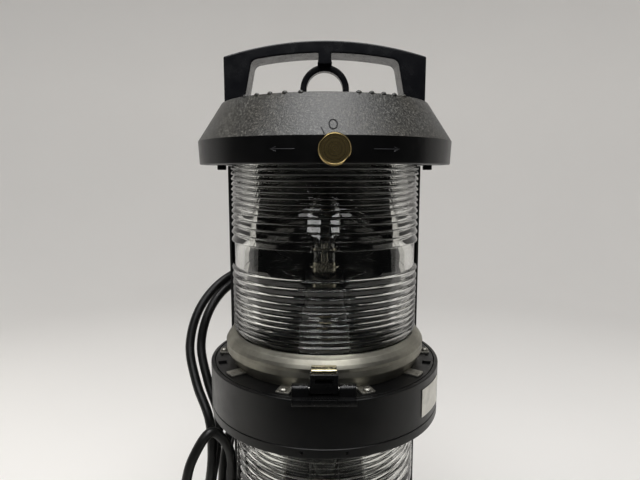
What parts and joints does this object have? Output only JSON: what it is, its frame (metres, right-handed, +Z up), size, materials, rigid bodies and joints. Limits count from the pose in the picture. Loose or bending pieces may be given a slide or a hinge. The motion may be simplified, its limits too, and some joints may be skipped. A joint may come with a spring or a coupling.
{
  "type": "navigation light",
  "caption": "Double-deck ship masthead light: stacked drum lenses with rear screens, bayonet cap with carrying handle, locking knob, latches and a looped cable.",
  "frame": {"origin": "centre of the base housing underside", "axes": "+Z up along the lamp axis, front (latches and knob) towards -Y"},
  "size_m": [0.2947, 0.3794, 0.6205],
  "materials": {
    "housing_black": "satin moulded black plastic with a fine grain",
    "cap_grey": "grainy dark grey powder coat on the cone, smoother and darker on the band",
    "handle_black": "satin black coat",
    "screen_black": "matte black sheet",
    "steel": "satin pressed stainless steel, warm grey",
    "brass": "turned brass, slightly dulled",
    "lens_glass": "clear prismatic glass",
    "bulb_glass": "clear blown glass",
    "seal_rubber": "dull black rubber",
    "cable_rubber": "satin black rubber sheath",
    "core_copper": "coloured insulated cores with crimped ferrules",
    "socket_ceramic": "off-white terminal block material",
    "tungsten": "dark coiled wire",
    "plate_foil": "blank pale printed foil"
  },
  "bodies": {
    "root": {"base_housing": "housing_black", "base_top_plate": "housing_black", "middle_housing": "housing_black", "middle_top_plate": "housing_black", "rating_plate": "plate_foil", "top_ring": "housing_black", "terminal_block": "socket_ceramic", "gland_body": "housing_black", "gland_locknut": "housing_black", "gland_nut": "housing_black", "supply_cable": "cable_rubber", "cable_tail": "core_copper", "lower_lens": "lens_glass", "lower_top_gasket": "seal_rubber", "lower_dish": "steel", "lower_seat_gasket": "seal_rubber", "lower_rear_screen": "screen_black", "lower_lamp_pedestal": "housing_black", "lower_lamp_socket": "housing_black", "lower_tab_screw_1": "steel", "lower_tab_screw_2": "steel", "lower_tab_screw_3": "steel", "lower_tab_screw_4": "steel", "lower_tab_screw_5": "steel", "lower_tab_screw_6": "steel", "lower_latch_bracket": "housing_black", "lower_latch_pin": "steel", "upper_dish": "steel", "upper_seat_gasket": "seal_rubber", "upper_rear_screen": "screen_black", "upper_lamp_pedestal": "housing_black", "upper_lamp_socket": "housing_black", "upper_tab_screw_1": "steel", "upper_tab_screw_2": "steel", "upper_tab_screw_3": "steel", "upper_tab_screw_4": "steel", "upper_tab_screw_5": "steel", "upper_tab_screw_6": "steel", "upper_latch_bracket": "housing_black", "upper_latch_pin": "steel"},
    "upper_lens_unit": {"upper_lens": "lens_glass"},
    "cap_seal": {"cap_gasket": "seal_rubber"},
    "cap": {"cap_shell": "cap_grey", "cap_inner_cover": "housing_black", "handle": "handle_black", "handle_screw_left": "steel", "handle_screw_right": "steel"},
    "knob_carrier": {"knob_washer": "brass"},
    "knob": {"knob": "brass"},
    "upper_latch": {"upper_latch_lever": "housing_black", "upper_latch_hook": "steel"},
    "lower_latch": {"lower_latch_lever": "housing_black", "lower_latch_hook": "steel"},
    "upper_bulb": {"upper_bulb_cap": "brass", "upper_bulb_glass": "bulb_glass", "upper_filament": "tungsten"},
    "lower_bulb": {"lower_bulb_cap": "brass", "lower_bulb_glass": "bulb_glass", "lower_filament": "tungsten"}
  },
  "joints": [
    {"name": "upper_lens_lift", "type": "slide", "parent": "root", "child": "upper_lens_unit", "axis": [0, 0, 1], "range_m": [0, 0.19]},
    {"name": "cap_lift", "type": "slide", "parent": "upper_lens_unit", "child": "cap_seal", "axis": [0, 0, 1], "range_m": [0, 0.12]},
    {"name": "cap_twist", "type": "hinge", "parent": "cap_seal", "child": "cap", "pos_m": [0, 0, 0.52], "axis": [0, 0, 1], "range_deg": [-18, 0]},
    {"name": "knob_travel", "type": "slide", "parent": "cap", "child": "knob_carrier", "axis": [0.0471, -0.9989, 0], "range_m": [0, 0.005]},
    {"name": "knob_turn", "type": "hinge", "parent": "knob_carrier", "child": "knob", "pos_m": [0.00582, -0.12346, 0.516], "axis": [0.0471, -0.9989, 0], "range_deg": [0, 1441]},
    {"name": "upper_latch_swing", "type": "hinge", "parent": "root", "child": "upper_latch", "pos_m": [-0.0012, -0.107, 0.3205], "axis": [1, 0, 0], "range_deg": [0, 90]},
    {"name": "lower_latch_swing", "type": "hinge", "parent": "root", "child": "lower_latch", "pos_m": [-0.0012, -0.107, 0.0765], "axis": [1, 0, 0], "range_deg": [0, 90]},
    {"name": "upper_bulb_lift", "type": "slide", "parent": "root", "child": "upper_bulb", "axis": [0, 0, 1], "range_m": [0, 0.05]},
    {"name": "lower_bulb_lift", "type": "slide", "parent": "root", "child": "lower_bulb", "axis": [0, 0, 1], "range_m": [0, 0.05]}
  ],
  "couplings": [
    {"joint": "knob_turn", "follows": "knob_travel", "rad_per_m": 5026.5}
  ]
}
